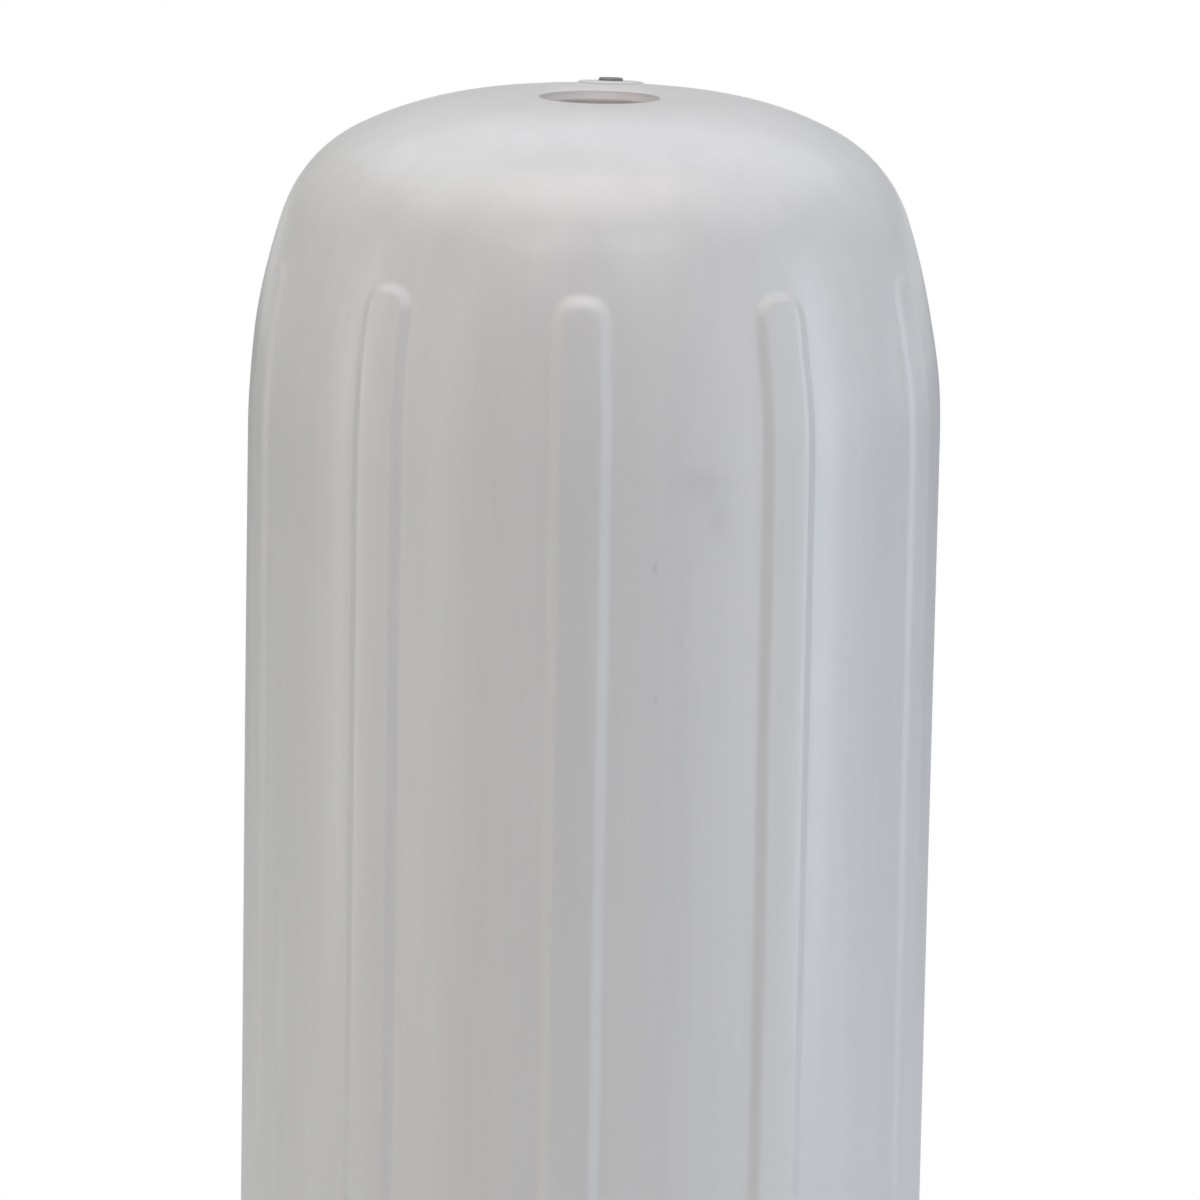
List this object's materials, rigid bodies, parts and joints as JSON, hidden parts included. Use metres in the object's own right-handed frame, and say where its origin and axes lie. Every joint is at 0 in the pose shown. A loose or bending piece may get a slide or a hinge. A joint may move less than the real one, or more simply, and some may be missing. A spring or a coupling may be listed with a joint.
{
  "type": "boat fender",
  "caption": "Inflatable boat fender: a round white vinyl body with rounded lengthwise ribs, domed ends, a rope tube through its middle and a small inflation valve beside one mouth",
  "frame": {"origin": "on the body's axis, at the level of the lower end's lowest ring, which the fender stands on", "axes": "+Z runs along the rope tube and up through the end with the valve; -Y points from the axis to the middle of a rib, and the valve is on the +Y side of the mouth, turned 3.3 degrees towards +X; +X to the right when the fender is seen from -Y"},
  "size_m": [0.216, 0.2198, 0.5215],
  "materials": {
    "vinyl": "soft glossy moulded white vinyl, faintly uneven, with a few faint scuffs",
    "valve_rubber": "matt grey rubber"
  },
  "bodies": {
    "root": {"fender_body": "vinyl", "valve_plug": "valve_rubber"}
  },
  "joints": []
}
